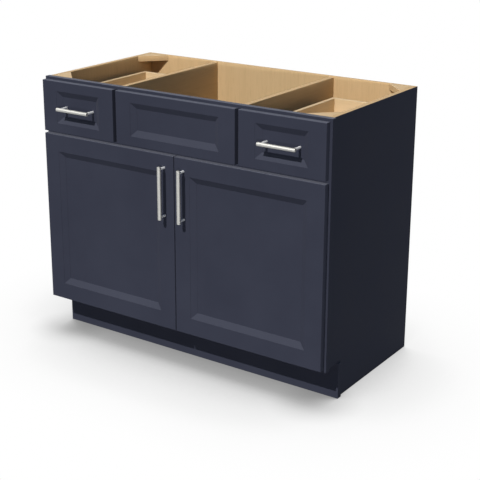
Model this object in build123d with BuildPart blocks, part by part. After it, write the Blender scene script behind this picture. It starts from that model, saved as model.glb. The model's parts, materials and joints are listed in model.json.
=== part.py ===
"""Vanity base cabinet with two doors, two drawers, a fixed centre front and an open top.

Sizes are in millimetres. X runs to the right, Y to the back and Z up. The origin lies on the floor,
under the middle of the space that the closed cabinet fills, pulls included. Pieces that come in a
left and a right version are modelled on the right and mirrored.
"""

import os
from math import sqrt

from build123d import *

os.makedirs("parts", exist_ok=True)

# Overall size: the depth is that of the case with its face frame
cabinet_width = 1066.8
cabinet_height = 876.3
cabinet_depth = 533.4
toe_height = 114.3
toe_recess = 76.2

# Case boards
side_thickness = 15.875
back_thickness = 12.7
bottom_thickness = 15.875
dado_depth = 6.35
partition_thickness = 15.875
partition_drop = 2.4
toe_board_thickness = 19.05
block_leg = 76.2
block_thickness = 19.05

# Face frame
frame_thickness = 19.05
frame_overhang = 6.35
stile_width = 38.1
rail_width = 38.1
mullion_width = 76.2

# Doors, drawer fronts and the fixed front
front_thickness = 19.05
front_gap = 3.0
side_reveal = 6.35
top_reveal = 7.94
bottom_reveal = 9.5
row_gap = 8.4
drawer_front_gap = 12.7
door_gap = 3.2
drawer_front_height = 167.0
drawer_front_width = 291.45
edge_round = 2.0

# Recessed panels: a small step, a sloped bevel and a second step lead down to the panel
stile_flat = 57.0
door_rail_flat = 55.6
drawer_rail_flat = 31.0
bevel_width = 18.6
bevel_step = 1.0
panel_step = 0.5
panel_recess = 11.1
panel_thickness = 5.0
panel_tongue = 9.5
panel_float = 0.8

# Bar pulls
pull_bar_radius = 6.0
pull_post_radius = 4.0
pull_projection = 31.8
pull_overhang = 8.1
pull_chamfer = 1.0
pull_thread_depth = 12.0
door_pull_spacing = 152.4
door_pull_edge = 35.0
door_pull_drop = 40.5
drawer_pull_margin = 14.6

# Screws
screw_fit = 0.05
screw_radius = 2.0
screw_head_radius = 4.0
screw_head_height = 2.2
screw_bite = 12.0
cup_screw_radius = 1.75
cup_screw_head_radius = 3.4
cup_screw_head_height = 1.0

# Concealed hinges
hinge_inset = 80.0
pin_edge = 7.5
swing_clearance = 0.5
pin_radius = 1.5
pin_fit = 0.05
ear_wall = 0.4
cup_radius = 17.5
cup_margin = 3.0
cup_floor = 1.1
cup_fit = 0.05
cup_rim = 1.0
flange_thickness = 1.2
flange_width = 16.0
flange_length = 62.0
flange_offset = 6.0
flange_screw_spacing = 48.0
arm_thickness = 4.0
arm_plate = 3.5
arm_width = 10.2
arm_clearance = 0.4
slot_clearance = 1.0
eye_radius = 2.75
foot_width = 28.0
foot_setback = 0.5
foot_depth = 18.0

# Bumpers and the clips of the fixed front
bumper_radius = 4.0
bumper_inset = 20.0
bumper_clearance = 0.3
clip_wall = 3.0
clip_width = 24.0
clip_base = 30.0
clip_hook = 18.0
clip_inset = 25.0

# Drawer boxes
box_back_room = 66.5
box_height = 101.6
box_thickness = 12.7
box_lift = 6.9
box_side_gap = 6.0
box_bottom_thickness = 6.35
box_bottom_recess = 12.7
box_groove = 6.35
box_groove_float = 0.5
front_screw_inset = 8.0
front_screw_margin = 14.0

# Undermount slides
slide_width = 24.0
slide_wall = 1.5
slide_height = 6.0
slide_clearance = 0.4
slide_split = 0.8
slide_side_gap = 1.0
slide_end_gap = 0.5
neck_width = 6.0
middle_rail_setback = 12.0
socket_gap = 2.0
socket_grip = 16.0
socket_wall = 3.0
latch_width = 22.0
latch_length = 45.0
latch_height = 12.0
latch_gap = 0.5

# Planes across the cabinet, from front to back
half_width = cabinet_width / 2
back_y = (cabinet_depth + front_gap + front_thickness + pull_projection) / 2
frame_y = back_y - cabinet_depth
frame_back_y = frame_y + frame_thickness
front_back_y = frame_y - front_gap
front_y = front_back_y - front_thickness
panel_y = front_y + panel_recess
back_panel_y = back_y - back_thickness
toe_y = frame_y + toe_recess
toe_back_y = toe_y + toe_board_thickness

# Planes to the right of the middle
side_outer_x = half_width - frame_overhang
side_inner_x = side_outer_x - side_thickness
opening_x = half_width - stile_width
fronts_x = half_width - side_reveal
drawer_front_x = fronts_x - drawer_front_width
mullion_x = drawer_front_x - drawer_front_gap / 2
false_front_x = drawer_front_x - drawer_front_gap

# Levels
deck_z = toe_height + rail_width
top_rail_z = cabinet_height - rail_width
front_top_z = cabinet_height - top_reveal
drawer_front_z = front_top_z - drawer_front_height
door_bottom_z = toe_height + bottom_reveal
door_top_z = drawer_front_z - row_gap
middle_rail_z = (drawer_front_z + door_top_z - rail_width) / 2
drawer_opening_z = middle_rail_z + rail_width


def across(y):
    """Plane that faces the front at depth y, with X to the right and Z up."""
    return Plane.XZ.offset(-y)


def inset(span, amount):
    """The span drawn in by the same amount at both ends."""
    return (span[0] + amount, span[1] - amount)


def middle(span):
    """The middle of a span."""
    return (span[0] + span[1]) / 2


def rectangle(u, v, mode=Mode.ADD):
    """Rectangle over two spans of the sketch that is being drawn."""
    with Locations((middle(u), middle(v))):
        Rectangle(u[1] - u[0], v[1] - v[0], mode=mode)


def board(x, y, z):
    """Square-edged board over three spans."""
    with BuildPart() as piece:
        with BuildSketch(across(y[0])):
            rectangle(x, z)
        extrude(amount=y[0] - y[1])
    return piece.part


def screw(seat, direction, length, radius, head_radius, head_height):
    """Screw whose head sits on the point seat and whose shank runs along direction."""
    under_head = Plane(origin=seat, z_dir=direction)
    with BuildPart() as piece:
        with BuildSketch(under_head):
            Circle(radius)
        extrude(amount=length)
        with BuildSketch(under_head):
            Circle(head_radius)
        extrude(amount=-head_height)
    return piece.part


def save(label, *solids):
    """Writes one piece, or one group of like pieces, under its name."""
    piece = solids[0] if len(solids) == 1 else Compound(list(solids))
    piece.label = label
    export_step(piece, f"parts/{label}.step")


def save_pair(label, *solids):
    """Writes the right-hand piece as it is and the left-hand one mirrored."""
    save(f"right_{label}", *solids)
    save(f"left_{label}", *[mirror(solid, about=Plane.YZ) for solid in solids])


# Case
with BuildPart() as side_panel:
    with BuildSketch(Plane.YZ.offset(side_inner_x)):
        with BuildLine():
            Polyline(
                (frame_back_y, cabinet_height),
                (frame_back_y, toe_height),
                (toe_back_y, toe_height),
                (toe_back_y, 0),
                (back_y, 0),
                (back_y, cabinet_height),
                close=True,
            )
        make_face()
    extrude(amount=side_thickness)
    with BuildSketch(Plane.YZ.offset(side_inner_x)):
        rectangle((frame_back_y, back_panel_y), (deck_z - bottom_thickness, deck_z))
    extrude(amount=dado_depth, mode=Mode.SUBTRACT)
save_pair("side_panel", side_panel.part)

deck_x = side_inner_x + dado_depth
bottom_panel = board((-deck_x, deck_x), (frame_back_y, back_panel_y), (deck_z - bottom_thickness, deck_z))
save("bottom_panel", bottom_panel)

back_panel = board((-side_inner_x, side_inner_x), (back_panel_y, back_y), (0, cabinet_height))
save("back_panel", back_panel)

partition_x = (mullion_x - partition_thickness / 2, mullion_x + partition_thickness / 2)
partition_z = (middle_rail_z, cabinet_height - partition_drop)
save_pair("partition", board(partition_x, (frame_back_y, back_panel_y), partition_z))

toe_board = board((-half_width, half_width), (toe_y, toe_back_y), (0, toe_height))
save("toe_kick_board", toe_board)


def corner_block(corner_y, leg_y):
    """Triangular brace in a top corner; leg_y is its signed reach along Y."""
    with BuildPart() as block:
        with BuildSketch(Plane.XY.offset(cabinet_height - block_thickness)):
            with BuildLine():
                Polyline(
                    (side_inner_x, corner_y),
                    (side_inner_x - block_leg, corner_y),
                    (side_inner_x, corner_y + leg_y),
                    close=True,
                )
            make_face()
        extrude(amount=block_thickness)
    return block.part


for place, corner_y, leg_y in (("front", frame_back_y, block_leg), ("back", back_panel_y, -block_leg)):
    block = corner_block(corner_y, leg_y)
    save(f"{place}_corner_blocks", block, mirror(block, about=Plane.YZ))

# Face frame, with pilot holes for the hinge screws in the inner edges of its stiles
frame_depth = (frame_y, frame_back_y)
hinge_heights = (door_bottom_z + hinge_inset, door_top_z - hinge_inset)
foot_screw_y = frame_y + (foot_setback + foot_depth) / 2
foot_screws = [(foot_screw_y, height) for height in hinge_heights]

with BuildPart() as frame_stile:
    add(board((opening_x, half_width), frame_depth, (toe_height, cabinet_height)))
    with BuildSketch(Plane.YZ.offset(opening_x)):
        with Locations(*foot_screws):
            Circle(screw_radius + screw_fit)
    extrude(amount=screw_bite, mode=Mode.SUBTRACT)
save_pair("frame_stile", frame_stile.part)

save("frame_top_rail", board((-opening_x, opening_x), frame_depth, (top_rail_z, cabinet_height)))
save("frame_middle_rail", board((-opening_x, opening_x), frame_depth, (middle_rail_z, drawer_opening_z)))
save("frame_bottom_rail", board((-opening_x, opening_x), frame_depth, (toe_height, deck_z)))

mullion_span = (mullion_x - mullion_width / 2, mullion_x + mullion_width / 2)
save_pair("frame_mullion", board(mullion_span, frame_depth, (drawer_opening_z, top_rail_z)))


def bevel_spans(x, z, rail_flat):
    """Spans of a front's bevel: its outer edge along X and Z, then its inner edge."""
    window_x = inset(x, stile_flat)
    window_z = inset(z, rail_flat)
    return window_x, window_z, inset(window_x, bevel_width), inset(window_z, bevel_width)


def front_ring(x, z, rail_flat):
    """Stiles and rails of a front in one ring, with the bevel and the groove for its panel."""
    window_x, window_z, panel_x, panel_z = bevel_spans(x, z, rail_flat)
    with BuildPart() as ring:
        with BuildSketch(across(front_back_y)):
            rectangle(x, z)
        extrude(amount=front_thickness)
        fillet(ring.faces().sort_by(Axis.Y)[0].edges(), edge_round)
        with BuildSketch(across(front_y)):
            rectangle(window_x, window_z)
        extrude(amount=-bevel_step, mode=Mode.SUBTRACT)
        with BuildSketch(across(front_y + bevel_step)):
            rectangle(window_x, window_z)
        with BuildSketch(across(panel_y - panel_step)):
            rectangle(panel_x, panel_z)
        loft(mode=Mode.SUBTRACT)
        with BuildSketch(across(front_back_y)):
            rectangle(panel_x, panel_z)
        extrude(amount=front_thickness, mode=Mode.SUBTRACT)
        with BuildSketch(across(panel_y)):
            rectangle(inset(panel_x, -panel_tongue), inset(panel_z, -panel_tongue))
        extrude(amount=-panel_thickness, mode=Mode.SUBTRACT)
    return ring.part


def frame_members(ring, x, z, rail_flat):
    """The two stiles and two rails of a ring, parted at the stiles' edges and mitred at the bevel."""
    window_x, window_z, panel_x, panel_z = bevel_spans(x, z, rail_flat)
    left_stile = [
        (x[0], z[0]),
        (window_x[0], z[0]),
        (window_x[0], window_z[0]),
        (panel_x[0], panel_z[0]),
        (panel_x[0], panel_z[1]),
        (window_x[0], window_z[1]),
        (window_x[0], z[1]),
        (x[0], z[1]),
    ]
    bottom_rail = [
        (window_x[0], z[0]),
        (window_x[1], z[0]),
        (window_x[1], window_z[0]),
        (panel_x[1], panel_z[0]),
        (panel_x[0], panel_z[0]),
        (window_x[0], window_z[0]),
    ]
    right_stile = [(x[0] + x[1] - u, v) for u, v in left_stile]
    top_rail = [(u, z[0] + z[1] - v) for u, v in bottom_rail]
    members = []
    for outline in (left_stile, right_stile, bottom_rail, top_rail):
        with BuildPart() as member:
            add(ring)
            with BuildSketch(across(front_back_y)):
                with BuildLine():
                    Polyline(*outline, close=True)
                make_face()
            extrude(amount=front_thickness, mode=Mode.INTERSECT)
        members.append(member.part)
    return members


def front_panel(x, z, rail_flat, holes=()):
    """Flat panel that floats in the groove of a front, with clearance holes for pull screws."""
    panel_x, panel_z = bevel_spans(x, z, rail_flat)[2:]
    reach = panel_tongue - panel_float
    with BuildPart() as panel:
        with BuildSketch(across(panel_y)):
            rectangle(inset(panel_x, -reach), inset(panel_z, -reach))
            for point in holes:
                with Locations(point):
                    Circle(screw_radius + screw_fit, mode=Mode.SUBTRACT)
        extrude(amount=-panel_thickness)
    return panel.part


def pull(posts, seat_y):
    """Bar pull on two posts, given as points (x, z) of the surface at seat_y; all bars lie in one plane."""
    start, end = [Vector(x, front_y - pull_projection + pull_bar_radius, z) for x, z in posts]
    center = (start + end) / 2
    with BuildPart() as handle:
        with BuildSketch(Plane(origin=center, z_dir=end - start)):
            Circle(pull_bar_radius)
        extrude(amount=(end - start).length / 2 + pull_overhang, both=True)
        chamfer(handle.edges().filter_by(GeomType.CIRCLE), pull_chamfer)
        with BuildSketch(across(seat_y)):
            with Locations(*posts):
                Circle(pull_post_radius)
        extrude(amount=seat_y - center.Y)
        with BuildSketch(across(seat_y)):
            with Locations(*posts):
                Circle(screw_radius + screw_fit)
        extrude(amount=pull_thread_depth, mode=Mode.SUBTRACT)
    return handle.part


def pull_screws(posts, seat_y, head_y):
    """Machine screws that run from heads at head_y into the posts of a pull."""
    length = head_y - seat_y + pull_thread_depth - screw_head_height
    return [
        screw((x, head_y, z), (0, -1, 0), length, screw_radius, screw_head_radius, screw_head_height)
        for x, z in posts
    ]


# Fixed front, held by clips that hook behind the mullions
false_front = ((-false_front_x, false_front_x), (drawer_front_z, front_top_z), drawer_rail_flat)
save("false_front_frame", *frame_members(front_ring(*false_front), *false_front))
save("false_front_panel", front_panel(*false_front))


def false_front_clip(z):
    """Bent clip between the back of the fixed front and the back of the right mullion."""
    edge_x = mullion_span[0]
    with BuildPart() as clip:
        with BuildSketch(Plane.XY.offset(z - clip_width / 2)):
            rectangle((edge_x - clip_base, edge_x), (front_back_y, frame_y))
            rectangle((edge_x - clip_wall, edge_x), (front_back_y, frame_back_y + clip_wall))
            rectangle((edge_x - clip_wall, edge_x + clip_hook), (frame_back_y, frame_back_y + clip_wall))
        extrude(amount=clip_width)
    return clip.part


clip_heights = inset((drawer_opening_z, top_rail_z), clip_inset)
clips = [false_front_clip(z) for z in clip_heights]
save("false_front_clips", *clips, *[mirror(clip, about=Plane.YZ) for clip in clips])

# Hinge places on the right: the pin's depth lets the door's back edge swing clear of the frame
pin_gap = front_gap - swing_clearance
pin_depth = (pin_edge**2 - pin_gap**2) / (2 * pin_gap)
pin_x = fronts_x - pin_edge
pin_y = front_back_y - pin_depth
cup_x = fronts_x - cup_margin - cup_radius
slot_depth = pin_depth + eye_radius + arm_clearance
cup_depth = slot_depth + cup_floor
arm_x = opening_x - arm_plate
ear_reach = sqrt((cup_radius - ear_wall) ** 2 - (pin_x - cup_x + pin_radius) ** 2)
flange_x = cup_x - flange_offset
cup_screw_points = [
    (flange_x, height + side * flange_screw_spacing / 2) for height in hinge_heights for side in (-1, 1)
]

# Doors
door = ((door_gap / 2, fronts_x), (door_bottom_z, door_top_z), door_rail_flat)
door_pull_x = door_gap / 2 + door_pull_edge
door_pull_top = door_top_z - door_pull_drop
door_posts = [(door_pull_x, door_pull_top - door_pull_spacing), (door_pull_x, door_pull_top)]

with BuildPart() as door_ring:
    add(front_ring(*door))
    with BuildSketch(across(front_back_y)):
        with Locations(*[(cup_x, height) for height in hinge_heights]):
            Circle(cup_radius)
    extrude(amount=cup_depth, mode=Mode.SUBTRACT)
    with BuildSketch(across(front_back_y)):
        with Locations(*cup_screw_points):
            Circle(cup_screw_radius + screw_fit)
    extrude(amount=screw_bite, mode=Mode.SUBTRACT)
    with BuildSketch(across(front_back_y)):
        with Locations(*door_posts):
            Circle(screw_radius + screw_fit)
    extrude(amount=front_thickness, mode=Mode.SUBTRACT)
save_pair("door_frame", *frame_members(door_ring.part, *door))
save_pair("door_panel", front_panel(*door))
save_pair("door_pull", pull(door_posts, front_y))

cup_screws = [
    screw(
        (x, front_back_y + flange_thickness, z),
        (0, -1, 0),
        screw_bite,
        cup_screw_radius,
        cup_screw_head_radius,
        cup_screw_head_height,
    )
    for x, z in cup_screw_points
]
save_pair("door_screws", *pull_screws(door_posts, front_y, front_back_y), *cup_screws)


def hinge_cup(z):
    """Cup pressed into the door, with its flange, the slot for the arm and the bores for the pin."""
    slot_half = arm_width / 2 + arm_clearance
    with BuildPart() as cup:
        with BuildSketch(across(front_back_y)):
            with Locations((cup_x, z)):
                Circle(cup_radius - cup_fit)
        extrude(amount=cup_depth - cup_fit)
        with BuildSketch(across(front_back_y)):
            with Locations((cup_x, z)):
                Circle(cup_radius + cup_rim)
            with Locations((flange_x, z)):
                Rectangle(flange_width, flange_length)
        extrude(amount=-flange_thickness)
        with BuildSketch(across(front_back_y + flange_thickness)):
            rectangle((arm_x - slot_clearance, fronts_x), (z - slot_half, z + slot_half))
        extrude(amount=flange_thickness + slot_depth, mode=Mode.SUBTRACT)
        with BuildSketch(Plane.XY.offset(z - ear_reach)):
            with Locations((pin_x, pin_y)):
                Circle(pin_radius + pin_fit)
        extrude(amount=2 * ear_reach, mode=Mode.SUBTRACT)
        with BuildSketch(across(front_back_y + flange_thickness)):
            with Locations(*[(flange_x, z + side * flange_screw_spacing / 2) for side in (-1, 1)]):
                Circle(cup_screw_radius + screw_fit)
        extrude(amount=flange_thickness, mode=Mode.SUBTRACT)
    return cup.part


def hinge_pin(z):
    """Pin through the ears of the cup and the eye of the arm."""
    with BuildPart() as pin:
        with BuildSketch(Plane.XY.offset(z - ear_reach + pin_fit)):
            with Locations((pin_x, pin_y)):
                Circle(pin_radius)
        extrude(amount=2 * (ear_reach - pin_fit))
    return pin.part


def hinge_arm(z):
    """Arm from the pin, out through the cup's mouth, to a foot on the inner edge of the frame stile."""
    with BuildPart() as arm:
        with BuildSketch(Plane.XY.offset(z - arm_width / 2)):
            rectangle((arm_x, pin_x), (pin_y - arm_thickness / 2, pin_y + arm_thickness / 2))
            rectangle((arm_x, opening_x), (pin_y - arm_thickness / 2, frame_y + foot_depth))
            with Locations((pin_x, pin_y)):
                Circle(eye_radius)
                Circle(pin_radius + pin_fit, mode=Mode.SUBTRACT)
        extrude(amount=arm_width)
        with BuildSketch(Plane.XY.offset(z - foot_width / 2)):
            rectangle((arm_x, opening_x), (frame_y + foot_setback, frame_y + foot_depth))
        extrude(amount=foot_width)
        with BuildSketch(Plane.YZ.offset(arm_x)):
            with Locations((foot_screw_y, z)):
                Circle(screw_radius + screw_fit)
        extrude(amount=arm_plate, mode=Mode.SUBTRACT)
    return arm.part


save_pair("hinge_cups", *[hinge_cup(z) for z in hinge_heights])
save_pair("hinge_pins", *[hinge_pin(z) for z in hinge_heights])
save_pair("hinge_arms", *[hinge_arm(z) for z in hinge_heights])

arm_screws = [
    screw(
        (arm_x, y, z),
        (1, 0, 0),
        arm_plate + screw_bite,
        screw_radius,
        screw_head_radius,
        screw_head_height,
    )
    for y, z in foot_screws
]
save("hinge_arm_screws", *arm_screws, *[mirror(piece, about=Plane.YZ) for piece in arm_screws])

# Bumpers on the face frame: pads between the frame and what closes against it
door_bumper_heights = (middle((door_bottom_z, deck_z)), middle((middle_rail_z, door_top_z)))
drawer_bumper_heights = (middle((drawer_front_z, drawer_opening_z)), middle((top_rail_z, front_top_z)))
drawer_bumper_span = inset((drawer_front_x, fronts_x), bumper_inset)
bumper_points = [(door_gap / 2 + bumper_inset, z) for z in door_bumper_heights]
bumper_points += [(x, z) for x in drawer_bumper_span for z in drawer_bumper_heights]
bumper_points += [(false_front_x - bumper_inset, z) for z in drawer_bumper_heights]

with BuildPart() as bumpers:
    with BuildSketch(across(frame_y)):
        with Locations(*bumper_points):
            Circle(bumper_radius)
    extrude(amount=front_gap - bumper_clearance)
    mirror(about=Plane.YZ)
save("bumpers", bumpers.part)

# Drawer on the right: its box hangs in the opening between mullion and stile
drawer = ((drawer_front_x, fronts_x), (drawer_front_z, front_top_z), drawer_rail_flat)
box_x = inset((mullion_span[1], opening_x), box_side_gap)
box_y = (front_back_y, back_panel_y - box_back_room)
box_z = (drawer_opening_z + box_lift, drawer_opening_z + box_lift + box_height)
box_inner_x = inset(box_x, box_thickness)
box_bottom_z = (box_z[0] + box_bottom_recess, box_z[0] + box_bottom_recess + box_bottom_thickness)
box_front_y = (box_y[0], box_y[0] + box_thickness)
drawer_middle = Plane.YZ.offset(middle(box_x))

drawer_panel_x = bevel_spans(*drawer)[2]
drawer_posts = [(x, middle(drawer[1])) for x in inset(drawer_panel_x, drawer_pull_margin)]
front_screw_points = [
    (x, z)
    for x in inset(box_inner_x, front_screw_inset)
    for z in inset((box_bottom_z[1], box_z[1]), front_screw_margin)
]

with BuildPart() as drawer_ring:
    add(front_ring(*drawer))
    with BuildSketch(across(front_back_y)):
        with Locations(*front_screw_points):
            Circle(screw_radius + screw_fit)
    extrude(amount=screw_bite, mode=Mode.SUBTRACT)
save_pair("drawer_front_frame", *frame_members(drawer_ring.part, *drawer))
save_pair("drawer_front_panel", front_panel(*drawer, holes=drawer_posts))
save_pair("drawer_pull", pull(drawer_posts, panel_y))

with BuildPart() as box_side:
    add(board((box_inner_x[1], box_x[1]), box_y, box_z))
    with BuildSketch(across(box_y[0] + box_thickness - box_groove)):
        rectangle((box_inner_x[1], box_inner_x[1] + box_groove), box_bottom_z)
    extrude(amount=box_y[0] - box_y[1], mode=Mode.SUBTRACT)
save_pair("drawer_box_sides", box_side.part, mirror(box_side.part, about=drawer_middle))

with BuildPart() as box_front:
    add(board(box_inner_x, box_front_y, box_z))
    with BuildSketch(across(box_front_y[1] - box_groove)):
        rectangle(box_inner_x, box_bottom_z)
    extrude(amount=-box_groove, mode=Mode.SUBTRACT)
    with BuildSketch(across(box_front_y[0])):
        with Locations(*front_screw_points, *drawer_posts):
            Circle(screw_radius + screw_fit)
    extrude(amount=-box_thickness, mode=Mode.SUBTRACT)
save_pair("drawer_box_front", box_front.part)

box_back = board(box_inner_x, (box_y[1] - box_thickness, box_y[1]), (box_bottom_z[1], box_z[1]))
save_pair("drawer_box_back", box_back)

bottom_reach = box_groove - box_groove_float
box_bottom_y = (box_front_y[1] - bottom_reach, box_y[1])
save_pair("drawer_box_bottom", board(inset(box_inner_x, -bottom_reach), box_bottom_y, box_bottom_z))

front_screws = [
    screw(
        (x, box_front_y[1], z),
        (0, -1, 0),
        box_thickness + screw_bite,
        screw_radius,
        screw_head_radius,
        screw_head_height,
    )
    for x, z in front_screw_points
]
save_pair("drawer_screws", *front_screws, *pull_screws(drawer_posts, panel_y, box_front_y[1]))

# Undermount slides: a channel on the cabinet, an I-shaped middle rail and a channel under the drawer
slide_xs = inset(box_inner_x, slide_side_gap + slide_width / 2)
slide_start_y = box_front_y[1] + slide_end_gap
cavity_width = slide_width - 2 * slide_wall
mouth_width = neck_width + 2 * slide_split
drawer_rail_z = (box_bottom_z[0] - slide_height, box_bottom_z[0])
cabinet_channel_z = (drawer_rail_z[0] - slide_split - slide_height, drawer_rail_z[0] - slide_split)
socket_y = (box_y[1] + socket_gap, back_panel_y)
cabinet_rail_end_y = socket_y[0] + socket_grip


def around(x, width):
    """Span of the given width about x."""
    return (x - width / 2, x + width / 2)


def drawer_rail(x):
    """Channel under the drawer's bottom, open downwards between two lips."""
    with BuildPart() as rail:
        with BuildSketch(across(slide_start_y)):
            rectangle(around(x, slide_width), drawer_rail_z)
            rectangle(around(x, cavity_width), inset(drawer_rail_z, slide_wall), mode=Mode.SUBTRACT)
            rectangle(around(x, mouth_width), (drawer_rail_z[0], middle(drawer_rail_z)), mode=Mode.SUBTRACT)
        extrude(amount=slide_start_y - box_y[1])
    return rail.part


def middle_rail(x):
    """I-shaped rail whose flanges run in the two channels."""
    lower = inset(cabinet_channel_z, slide_wall + slide_clearance)
    upper = inset(drawer_rail_z, slide_wall + slide_clearance)
    with BuildPart() as rail:
        with BuildSketch(across(slide_start_y)):
            rectangle(around(x, cavity_width - 2 * slide_clearance), lower)
            rectangle(around(x, cavity_width - 2 * slide_clearance), upper)
            rectangle(around(x, neck_width), (lower[0], upper[1]))
        extrude(amount=slide_start_y - box_y[1] + middle_rail_setback)
    return rail.part


def cabinet_rail(x):
    """Channel on two legs that stands on the frame's middle rail and runs back to its socket."""
    mouth_z = (middle(cabinet_channel_z), cabinet_channel_z[1])
    with BuildPart() as rail:
        with BuildSketch(across(slide_start_y)):
            rectangle(around(x, slide_width), (drawer_opening_z, cabinet_channel_z[1]))
            rectangle(around(x, cavity_width), (drawer_opening_z, cabinet_channel_z[0]), mode=Mode.SUBTRACT)
            rectangle(around(x, cavity_width), inset(cabinet_channel_z, slide_wall), mode=Mode.SUBTRACT)
            rectangle(around(x, mouth_width), mouth_z, mode=Mode.SUBTRACT)
        extrude(amount=slide_start_y - cabinet_rail_end_y)
    return rail.part


def rear_socket(x):
    """Socket on the back panel that holds the rear end of a cabinet rail."""
    envelope = (drawer_opening_z, cabinet_channel_z[1])
    with BuildPart() as socket:
        add(board(around(x, slide_width + 2 * socket_wall), socket_y, inset(envelope, -socket_wall)))
        with BuildSketch(across(socket_y[0])):
            rectangle(around(x, slide_width), envelope)
        extrude(amount=-socket_grip, mode=Mode.SUBTRACT)
    return socket.part


save_pair("drawer_rails", *[drawer_rail(x) for x in slide_xs])
save_pair("middle_rails", *[middle_rail(x) for x in slide_xs])
save_pair("cabinet_rails", *[cabinet_rail(x) for x in slide_xs])
sockets = [rear_socket(x) for x in slide_xs]
save("slide_rear_sockets", *sockets, *[mirror(socket, about=Plane.YZ) for socket in sockets])

# Latches under the drawer that lock its box to the drawer rails
latch_y = (box_front_y[1], box_front_y[1] + latch_length)
latch_z = (box_bottom_z[0] - latch_height, box_bottom_z[0])
latch_edge = slide_xs[1] - slide_width / 2 - latch_gap
latch = board((latch_edge - latch_width, latch_edge), latch_y, latch_z)
save_pair("drawer_latches", latch, mirror(latch, about=drawer_middle))
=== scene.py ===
"""Looks of a navy vanity cabinet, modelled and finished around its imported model.

Lengths are in metres in the frame of that model: X to the right, Y to the back, Z up.
"""

import json
import math

import bmesh
import bpy
from bpy.props import FloatProperty, FloatVectorProperty, PointerProperty
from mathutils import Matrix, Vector

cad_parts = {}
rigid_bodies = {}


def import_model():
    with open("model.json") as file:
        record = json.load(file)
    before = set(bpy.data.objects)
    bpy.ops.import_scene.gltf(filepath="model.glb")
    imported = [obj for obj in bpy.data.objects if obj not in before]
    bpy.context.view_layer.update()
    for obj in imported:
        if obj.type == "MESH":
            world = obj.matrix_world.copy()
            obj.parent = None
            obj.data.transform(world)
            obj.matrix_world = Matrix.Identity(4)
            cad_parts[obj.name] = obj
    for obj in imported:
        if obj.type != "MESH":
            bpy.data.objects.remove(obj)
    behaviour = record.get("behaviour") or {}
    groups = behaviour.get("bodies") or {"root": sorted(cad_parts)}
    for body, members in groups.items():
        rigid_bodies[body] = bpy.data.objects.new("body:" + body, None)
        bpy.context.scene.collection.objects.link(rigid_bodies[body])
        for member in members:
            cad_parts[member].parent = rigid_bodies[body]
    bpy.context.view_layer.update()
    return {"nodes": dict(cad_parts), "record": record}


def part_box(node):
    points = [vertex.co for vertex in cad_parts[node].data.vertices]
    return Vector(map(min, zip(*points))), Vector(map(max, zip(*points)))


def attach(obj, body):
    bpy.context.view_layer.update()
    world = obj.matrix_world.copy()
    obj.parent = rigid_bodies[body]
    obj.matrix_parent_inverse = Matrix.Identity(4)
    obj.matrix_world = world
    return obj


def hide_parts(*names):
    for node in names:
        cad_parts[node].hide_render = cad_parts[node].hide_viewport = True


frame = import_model()

bl_info = {
    "name": "Vanity Cabinet",
    "version": (1, 0, 0),
    "blender": (4, 5, 0),
    "location": "3D View > Sidebar > Vanity",
    "description": "Models and finishes a vanity cabinet around its packed model",
    "category": "Add Mesh",
}

X, Y, Z = range(3)
SIDES = ("left", "right")

# Vertices within WELD are one, an edge within TOUCH of a plane lies in it, and a face within CENTRED
# of a front's middle is its central one
WELD = 1e-5
TOUCH = 1e-6
CENTRED = 1e-4

# Share of a face's normal along an axis above which the face is square to that axis
SQUARE = 0.9

# Degrees between faces: within FLAT they are one, and above the others their edge is sharp
FLAT = 0.5
SHARP = 34
ROUTED_SHARP = 26

# Usual range of a noise
NOISE_LOW, NOISE_HIGH = 0.3, 0.7

# Groups of pieces that a lamp treats apart from the rest
KEY_PASSES = "passed by the key lamp"
EDGE_LIT = "lit by the edge lamps"


def length(name, description, default):
    """Property that holds a length."""
    return FloatProperty(
        name=name, description=description, default=default, min=0, precision=5, unit="LENGTH"
    )


def factor(name, description, default):
    """Property that holds a share from 0 to 1."""
    return FloatProperty(
        name=name, description=description, default=default, min=0, max=1, subtype="FACTOR"
    )


def strength(name, description, default):
    """Property that holds the strength of a light."""
    return FloatProperty(name=name, description=description, default=default, min=0)


def colour(name, description, default):
    """Property that holds a linear colour."""
    return FloatVectorProperty(
        name=name, description=description, default=default, min=0, max=1, subtype="COLOR"
    )


class VanitySizes(bpy.types.PropertyGroup):
    """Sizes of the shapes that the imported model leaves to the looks."""

    board_ease: length("Board ease", "Rounding on the edges of the case boards", 0.0008)
    box_ease: length("Drawer ease", "Rounding on the edges of the drawer boards", 0.0016)
    thin_ease: length("Thin ease", "Rounding on the edges of the drawer bottoms", 0.0004)
    metal_ease: length("Metal ease", "Rounding on the edges of hinges and fittings", 0.0003)
    pad_ease: length("Pad dome", "Rounding on the face of the bumpers", 0.0011)
    front_round: length("Front round", "Rounding around the face of the fronts", 0.002)
    front_ease: length("Front ease", "Rounding on the back edges of the fronts", 0.0008)
    stile_width: length("Stile width", "Flat width of a front's stiles", 0.057)
    door_rail: length("Door rail", "Flat width of a door's rails", 0.0556)
    drawer_rail: length("Drawer rail", "Flat width of a drawer front's rails", 0.031)
    bevel_width: length("Bevel width", "Width of the bevel around a front's panel", 0.0186)
    bevel_step: length("Bevel step", "Step at the outer edge of the bevel", 0.0006)
    panel_step: length("Panel step", "Step between the bevel and the panel", 0.0005)
    panel_recess: length("Panel recess", "Depth of the panel behind the front's face", 0.0111)
    cup_radius: length("Cup radius", "Radius of the bores for the hinge cups", 0.0175)
    cup_rim: length("Cup rim", "Width of a hinge cup's rim around its bore", 0.001)
    pull_radius: length("Bar radius", "Radius of a pull's bar", 0.006)
    post_radius: length("Post radius", "Radius of a pull's posts", 0.004)
    pull_chamfer: length("Bar chamfer", "Rounding at the ends of a pull's bar", 0.001)
    pull_overhang: length("Bar overhang", "Length of the bar beyond its posts", 0.0081)


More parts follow.
